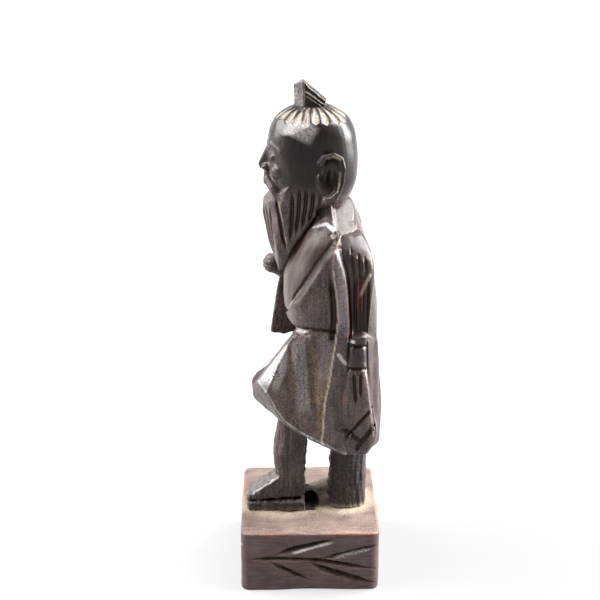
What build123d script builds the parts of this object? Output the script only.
"""A carved wooden figurine: a robed old man with a long beard and a topknot, striding on a square plinth.

It is built the way a carver builds a small figure from several billets: the plinth, two legs, the robe,
two arms, the head with its beard, and the topknot are carved apart, then glued together over hidden pins.

Frame: millimetres, +Z up, the origin is the middle of the plinth's underside. The figure looks along -Y,
so its left hand is on the +X side. A height called *_rise is measured from the one named just before it,
and the first of them from the deck, which is the plinth's top.
"""

import os

from build123d import *

os.makedirs("parts", exist_ok=True)

# ---------------------------------------------------------------- driving dimensions
glue_gap = 0.05  # room for glue round a pin, a tenon or a let-in piece

plinth_side = 28.0
plinth_height = 13.3
plinth_corner_radius = 1.8
plinth_edge_radius = 0.5
sprig_width = 1.3  # a knife-cut leaf at its widest
sprig_depth = 0.7

hem_rise = 15.3
skirt_rise = 13.7  # up to where the skirt blows out furthest
waist_rise = 12.0
chest_rise = 10.5
armpit_rise = 4.0
shoulder_rise = 3.8
collar_rise = 3.4
neck_rise = 3.4

robe_half_width = 11.6
skirt_half_width = 12.4
waist_half_width = 10.7
neck_half_width = 4.4
waist_front = -3.9
chest_front = -5.7
neck_front = 2.2
skirt_front = -12.2
robe_back = 13.2
skirt_back = 14.8
neck_back = 6.8

head_height = 18.2
head_half_width = 7.3
face_front = -8.2
head_back = 8.9
ear_height = 9.0
ear_depth = 5.4  # front to back
ear_stand = 1.2  # how far it stands off the skull
beard_half_width = 5.4
beard_front = -9.2
beard_length = 18.8  # from the cheeks down to the tip
topknot_width = 3.4
topknot_height = 4.7
topknot_length = 4.8

leg_width = 7.0
tenon_length = 4.0  # how far a leg is let into the robe
front_leg_x = 1.3
front_leg_front = -6.6
front_leg_back = -0.6
rear_leg_x = 0.2
rear_leg_front = 4.4
rear_leg_back = 11.6
foot_length = 11.5
sole_height = 2.1
sole_slit = 0.5

left_arm_seat = 8.4  # distance from the middle to the flat that the arm is glued on
left_arm_thickness = 4.2
right_arm_seat = 6.4
right_arm_thickness = 5.2

pin_radius = 1.2
pin_length = 8.0
neck_pin_radius = 1.5
neck_pin_length = 12.0
topknot_pin_radius = 0.7
topknot_pin_length = 4.0
arm_pin_radius = 0.9
arm_pin_length = 5.0

# ---------------------------------------------------------------- places worked out from them
deck = plinth_height
hem_z = deck + hem_rise
skirt_z = hem_z + skirt_rise
waist_z = skirt_z + waist_rise
chest_z = waist_z + chest_rise
armpit_z = chest_z + armpit_rise
shoulder_z = armpit_z + shoulder_rise
collar_z = shoulder_z + collar_rise
neck_z = collar_z + neck_rise
crown_z = neck_z + head_height
front_leg_y = (front_leg_front + front_leg_back) / 2
rear_leg_y = (rear_leg_front + rear_leg_back) / 2
front_leg_top = hem_z + 7.2 + tenon_length
rear_leg_top = hem_z + 1.0 + tenon_length
neck_y = (neck_front + neck_back) / 2
ear_y = (face_front + head_back) / 2 + 3.0
ear_z = neck_z + 0.31 * head_height
topknot_y = (face_front + head_back) / 2 - 0.55
topknot_pin_y = topknot_y - 0.8
toe = front_leg_back - 0.5 - foot_length
left_arm_pins = [(9.2, chest_z + 1.5), (9.2, hem_z + 10.0)]
right_arm_pins = [(5.6, chest_z + 2.0), (2.6, chest_z - 7.5)]

# Above the chest the robe's front is one sloping flat, and the beard lies on it.
seat_slope = (neck_front - chest_front) / (neck_z - chest_z)
beard_seat = Plane(origin=(0, chest_front, chest_z), x_dir=(1, 0, 0), z_dir=(0, -1, seat_slope))


def robe_front(z):
    """Y of the sloping flat at height z."""
    return chest_front + seat_slope * (z - chest_z)


# ---------------------------------------------------------------- plan sections
# Each is (height, front, back, half width, corner radius).
waist_section = (waist_z, waist_front, robe_back, waist_half_width, 5.6)

skirt_sections = [
    (hem_z - 2.6, skirt_front + 0.6, skirt_back - 1.4, skirt_half_width - 0.8, 4.0),
    (hem_z + 3.0, skirt_front, skirt_back, skirt_half_width, 4.6),
    (skirt_z - 3.0, skirt_front, skirt_back - 0.4, skirt_half_width, 5.0),
    (skirt_z + 2.4, skirt_front + 1.4, skirt_back - 0.9, skirt_half_width - 0.5, 5.2),
    (waist_z - 4.4, waist_front - 3.0, robe_back + 0.2, waist_half_width + 0.3, 5.4),
    waist_section,
]
torso_sections = [
    waist_section,
    (waist_z + 3.6, waist_front - 0.8, robe_back - 0.1, robe_half_width - 0.3, 5.6),
    (chest_z, chest_front, robe_back - 0.4, robe_half_width, 5.6),
    (armpit_z, robe_front(armpit_z), robe_back - 1.0, robe_half_width, 5.0),
    (shoulder_z, robe_front(shoulder_z), robe_back - 2.4, robe_half_width - 0.8, 4.4),
    (collar_z, robe_front(collar_z), robe_back - 4.1, robe_half_width - 3.2, 3.2),
    (neck_z, neck_front, neck_back, neck_half_width, 2.0),
]
head_sections = [
    (neck_z, neck_front, neck_back - 0.2, neck_half_width, 2.0),
    (neck_z + 0.12 * head_height, face_front + 2.6, neck_back + 0.2, neck_half_width + 1.2, 2.6),
    (neck_z + 0.30 * head_height, face_front + 0.4, head_back - 0.8, head_half_width - 0.7, 4.2),
    (neck_z + 0.55 * head_height, face_front, head_back, head_half_width, 5.0),
    (neck_z + 0.80 * head_height, face_front + 0.8, head_back - 0.2, head_half_width - 0.2, 5.0),
    (neck_z + 0.93 * head_height, face_front + 2.6, head_back - 2.2, head_half_width - 1.8, 4.2),
    (crown_z, face_front + 5.0, head_back - 6.0, head_half_width - 4.1, 2.6),
]
beard_top = neck_z + 0.24 * head_height
beard_sections = [
    (beard_top - beard_length, -6.2, -4.4, 1.5, 0.7),
    (beard_top - 0.72 * beard_length, -7.8, -1.0, 3.9, 1.6),
    (beard_top - 0.36 * beard_length, beard_front, 1.8, beard_half_width, 2.4),
    (beard_top, beard_front + 0.8, 2.4, beard_half_width, 2.4),
]

# ---------------------------------------------------------------- side outlines, in Y and Z
def skirt_y(share):
    """Y at a share of the way from the skirt's front to its back."""
    return skirt_front + share * (skirt_back - skirt_front)


# The skirt's hem on the left side, and on the right side, where a flap hangs lower.
left_hem = [
    (skirt_y(-0.06), hem_z + 19.2),
    (skirt_y(0.045), hem_z + 17.0),
    (skirt_y(0.105), hem_z + 13.3),
    (skirt_y(0.22), hem_z + 9.4),
    (skirt_y(0.38), hem_z + 5.0),
    (skirt_y(0.60), hem_z + 1.2),
    (skirt_y(0.75), hem_z),
    (skirt_y(1.04), hem_z + 0.6),
]
right_hem = [
    (skirt_y(-0.06), hem_z + 8.0),
    (skirt_y(0.02), hem_z + 5.0),
    (skirt_y(0.105), hem_z + 2.6),
    (skirt_y(0.30), hem_z + 1.8),
    (skirt_y(0.60), hem_z + 1.2),
    (skirt_y(0.75), hem_z),
    (skirt_y(1.04), hem_z + 0.6),
]
front_leg_outline = [
    (front_leg_back, front_leg_top),
    (front_leg_back - 0.1, deck + 7.0),
    (front_leg_back - 0.5, deck),
    (toe, deck),
    (toe, deck + sole_height + 1.0),
    (front_leg_front - 0.1, deck + 7.4),
    (front_leg_front, deck + 12.0),
    (front_leg_front, front_leg_top),
]
rear_leg_outline = [
    (rear_leg_back, rear_leg_top),
    (rear_leg_back, deck),
    (rear_leg_front - 1.8, deck),
    (rear_leg_front - 0.9, deck + 4.4),
    (rear_leg_front, deck + 11.0),
    (rear_leg_front, rear_leg_top),
]
left_arm_outline = [
    (5.8, shoulder_z + 0.8),
    (8.8, shoulder_z + 0.6),
    (robe_back - 2.0, armpit_z),
    (robe_back - 1.6, chest_z - 4.5),
    (robe_back - 1.8, waist_z - 5.0),
    (skirt_back - 2.0, hem_z + 10.7),
    (skirt_back - 1.6, hem_z + 3.3),
    (skirt_back - 4.2, hem_z + 0.8),
    (6.4, hem_z + 1.4),
    (4.6, hem_z + 6.7),
    (6.4, hem_z + 16.7),
    (7.4, waist_z),
    (7.2, chest_z + 0.5),
]
right_arm_outline = [
    (4.6, shoulder_z + 0.6),
    (8.6, shoulder_z - 0.7),
    (9.8, chest_z - 1.5),
    (8.2, waist_z + 1.6),
    (2.0, waist_z - 3.6),
    (-7.2, waist_z - 3.6),
    (-6.0, chest_z - 3.4),
    (-8.2, chest_z - 2.6),
    (-9.4, chest_z),
    (-8.4, chest_z + 2.6),
    (-5.4, chest_z + 2.4),
    (-0.6, chest_z + 1.6),
    (1.4, chest_z + 5.6),
]
topknot_outline = [
    (topknot_y + topknot_length / 2, crown_z),
    (topknot_y + 0.1 * topknot_length, crown_z + 0.62 * topknot_height),
    (topknot_y - 0.4 * topknot_length, crown_z + topknot_height),
    (topknot_y - 0.62 * topknot_length, crown_z + 0.86 * topknot_height),
    (topknot_y - topknot_length / 2, crown_z),
]

# Sprig strokes on one face of the plinth, seen from outside: (start, end, size of the cut).
sprig_strokes = [
    ((-12.6, 7.8), (3.4, 6.9), 0.8),
    ((0.6, 7.4), (13.2, 5.7), 1.0),
    ((-8.2, 8.2), (5.0, 12.0), 1.0),
    ((1.4, 7.6), (13.2, 10.8), 1.0),
    ((-8.4, 7.2), (1.2, 2.1), 0.8),
    ((1.2, 6.6), (13.2, 1.9), 1.1),
]


# ---------------------------------------------------------------- steps that several pieces share
def plan_sections(sections):
    """The rounded plan sections of a faceted solid, each at its own height, ready to loft."""
    plans = []
    for z, front, back, half_width, corner in sections:
        with BuildSketch(Plane.XY.offset(z)) as plan:
            with Locations((0, (front + back) / 2)):
                RectangleRounded(2 * half_width, back - front, corner)
        plans.append(plan.sketch)
    return plans


def drill(mouth, direction, radius, length):
    """Cut the blind hole for one half of a pin: from its mouth, along a direction."""
    with Locations(Plane(origin=mouth, z_dir=direction)):
        Cylinder(
            radius + glue_gap,
            length / 2 + glue_gap,
            align=(Align.CENTER, Align.CENTER, Align.MIN),
            mode=Mode.SUBTRACT,
        )


def add_pin(middle, direction, radius, length):
    """Add a pin whose middle lies on the glued face."""
    with Locations(Plane(origin=middle, z_dir=direction)):
        Cylinder(radius, length)


def stroke_points(start, end, size):
    """Corners of the wedge of wood that one knife-cut leaf takes out: pointed at both ends."""
    tail = Vector(*start)
    tip = Vector(*end)
    along = (tip - tail).normalized()
    across = Vector(-along.Y, along.X) * (sprig_width * size / 2)
    belly = tail + (tip - tail) * 0.58
    deep = Vector(0, 0, sprig_depth * size)
    return [tail, tip, belly + across, belly - across, belly - deep, belly + deep]


# ---------------------------------------------------------------- plinth
foot_pins = [(front_leg_x, front_leg_y, deck), (rear_leg_x, rear_leg_y, deck)]

with BuildPart() as plinth:
    with BuildSketch():
        RectangleRounded(plinth_side, plinth_side, plinth_corner_radius)
    extrude(amount=plinth_height)
    fillet(plinth.faces().sort_by(Axis.Z)[-1].edges(), plinth_edge_radius)
    chamfer(plinth.faces().sort_by(Axis.Z)[0].edges(), plinth_edge_radius / 2)
    for turn in range(4):
        outward = Vector(1, 0, 0).rotate(Axis.Z, 90 * turn)
        rightward = Vector(0, 1, 0).rotate(Axis.Z, 90 * turn)
        with Locations(Plane(origin=outward * (plinth_side / 2), x_dir=rightward, z_dir=outward)):
            for start, end, size in sprig_strokes:
                ConvexPolyhedron(stroke_points(start, end, size), mode=Mode.SUBTRACT)
    for mouth in foot_pins:
        drill(mouth, (0, 0, -1), pin_radius, pin_length)
plinth.part.label = "plinth"

# ---------------------------------------------------------------- legs
with BuildPart() as front_leg:
    with BuildSketch(Plane.YZ.offset(front_leg_x)):
        with BuildLine():
            Polyline(*front_leg_outline, close=True)
        make_face()
    extrude(amount=leg_width / 2, both=True)
    # The slit that sets the foot off from its sandal.
    with BuildSketch(Plane.YZ.offset(front_leg_x)):
        with Locations((toe, deck + sole_height)):
            Rectangle(foot_length - 1.6, sole_slit, align=(Align.MIN, Align.CENTER))
    extrude(amount=leg_width, both=True, mode=Mode.SUBTRACT)
    drill(foot_pins[0], (0, 0, 1), pin_radius, pin_length)
front_leg.part.label = "front_leg"

with BuildPart() as rear_leg:
    with BuildSketch(Plane.YZ.offset(rear_leg_x)):
        with BuildLine():
            Polyline(*rear_leg_outline, close=True)
        make_face()
    extrude(amount=leg_width / 2, both=True)
    drill(foot_pins[1], (0, 0, 1), pin_radius, pin_length)
rear_leg.part.label = "rear_leg"

# ---------------------------------------------------------------- robe
leg_sockets = [
    (front_leg_x, front_leg_front, front_leg_back, front_leg_top),
    (rear_leg_x, rear_leg_front, rear_leg_back, rear_leg_top),
]
reach = plinth_side  # longer than any cut through the figure has to be

with BuildPart() as robe:
    loft(plan_sections(skirt_sections), ruled=True)
    loft(plan_sections(torso_sections), ruled=True)
    # The wind lifts the hem: trim the left half to one line and the right half to another.
    for hem_line, side in ((left_hem, 1), (right_hem, -1)):
        with BuildSketch(Plane.YZ.offset(front_leg_x - leg_width / 2)):
            with BuildLine():
                below = hem_z - 5.0
                Polyline(*hem_line, (skirt_y(1.04), below), (skirt_y(-0.06), below), close=True)
            make_face()
        extrude(amount=side * reach, mode=Mode.SUBTRACT)
    # Sockets for the tops of the legs.
    for x, front, back, top in leg_sockets:
        with Locations((x, (front + back) / 2, top + glue_gap)):
            Box(
                leg_width + 2 * glue_gap,
                back - front + 2 * glue_gap,
                reach,
                align=(Align.CENTER, Align.CENTER, Align.MAX),
                mode=Mode.SUBTRACT,
            )
    # Beds that the arms are let into.
    for outline, seat, side in ((left_arm_outline, left_arm_seat, 1), (right_arm_outline, right_arm_seat, -1)):
        with BuildSketch(Plane.YZ.offset(side * seat)):
            with BuildLine():
                Polyline(*outline, close=True)
            make_face()
            offset(amount=glue_gap, kind=Kind.INTERSECTION)
        extrude(amount=side * reach, mode=Mode.SUBTRACT)
    for y, z in left_arm_pins:
        drill((left_arm_seat, y, z), (-1, 0, 0), arm_pin_radius, arm_pin_length)
    for y, z in right_arm_pins:
        drill((-right_arm_seat, y, z), (1, 0, 0), arm_pin_radius, arm_pin_length)
    drill((0, neck_y, neck_z), (0, 0, -1), neck_pin_radius, neck_pin_length)
robe.part.label = "robe"

# ---------------------------------------------------------------- arms
with BuildPart() as left_arm:
    with BuildSketch(Plane.YZ.offset(left_arm_seat)):
        with BuildLine():
            Polyline(*left_arm_outline, close=True)
        make_face()
    extrude(amount=left_arm_thickness)
    chamfer(left_arm.faces().sort_by(Axis.X)[-1].edges(), 0.9)
    for y, z in left_arm_pins:
        drill((left_arm_seat, y, z), (1, 0, 0), arm_pin_radius, arm_pin_length)
left_arm.part.label = "left_arm"

with BuildPart() as right_arm:
    with BuildSketch(Plane.YZ.offset(-right_arm_seat)):
        with BuildLine():
            Polyline(*right_arm_outline, close=True)
        make_face()
    extrude(amount=-right_arm_thickness)
    chamfer(right_arm.faces().sort_by(Axis.X)[0].edges(), 0.9)
    for y, z in right_arm_pins:
        drill((-right_arm_seat, y, z), (-1, 0, 0), arm_pin_radius, arm_pin_length)
right_arm.part.label = "right_arm"

# ---------------------------------------------------------------- head with its beard
with BuildPart() as head:
    loft(plan_sections(beard_sections), ruled=True)
    split(bisect_by=beard_seat.offset(glue_gap), keep=Keep.TOP)
    loft(plan_sections(head_sections), ruled=True)
    with BuildSketch(Plane.YZ):
        with Locations((ear_y, ear_z)):
            Ellipse(ear_depth / 2, ear_height / 2)
    extrude(amount=head_half_width + ear_stand, both=True)
    drill((0, neck_y, neck_z), (0, 0, 1), neck_pin_radius, neck_pin_length)
    drill((0, topknot_pin_y, crown_z), (0, 0, -1), topknot_pin_radius, topknot_pin_length)
head.part.label = "head"

with BuildPart() as topknot:
    with BuildSketch(Plane.YZ):
        with BuildLine():
            Polyline(*topknot_outline, close=True)
        make_face()
    extrude(amount=topknot_width / 2, both=True)
    drill((0, topknot_pin_y, crown_z), (0, 0, 1), topknot_pin_radius, topknot_pin_length)
topknot.part.label = "topknot"

# ---------------------------------------------------------------- hidden pins
with BuildPart() as foot_pin_pair:
    for middle in foot_pins:
        add_pin(middle, (0, 0, 1), pin_radius, pin_length)
foot_pin_pair.part.label = "foot_pins"

with BuildPart() as neck_pin:
    add_pin((0, neck_y, neck_z), (0, 0, 1), neck_pin_radius, neck_pin_length)
neck_pin.part.label = "neck_pin"

with BuildPart() as topknot_pin:
    add_pin((0, topknot_pin_y, crown_z), (0, 0, 1), topknot_pin_radius, topknot_pin_length)
topknot_pin.part.label = "topknot_pin"

with BuildPart() as left_arm_pin_pair:
    for y, z in left_arm_pins:
        add_pin((left_arm_seat, y, z), (1, 0, 0), arm_pin_radius, arm_pin_length)
left_arm_pin_pair.part.label = "left_arm_pins"

with BuildPart() as right_arm_pin_pair:
    for y, z in right_arm_pins:
        add_pin((-right_arm_seat, y, z), (1, 0, 0), arm_pin_radius, arm_pin_length)
right_arm_pin_pair.part.label = "right_arm_pins"

# ---------------------------------------------------------------- one file for each piece
pieces = [
    plinth,
    front_leg,
    rear_leg,
    robe,
    left_arm,
    right_arm,
    head,
    topknot,
    foot_pin_pair,
    neck_pin,
    topknot_pin,
    left_arm_pin_pair,
    right_arm_pin_pair,
]
for piece in pieces:
    export_step(piece.part, "parts/" + piece.part.label + ".step")
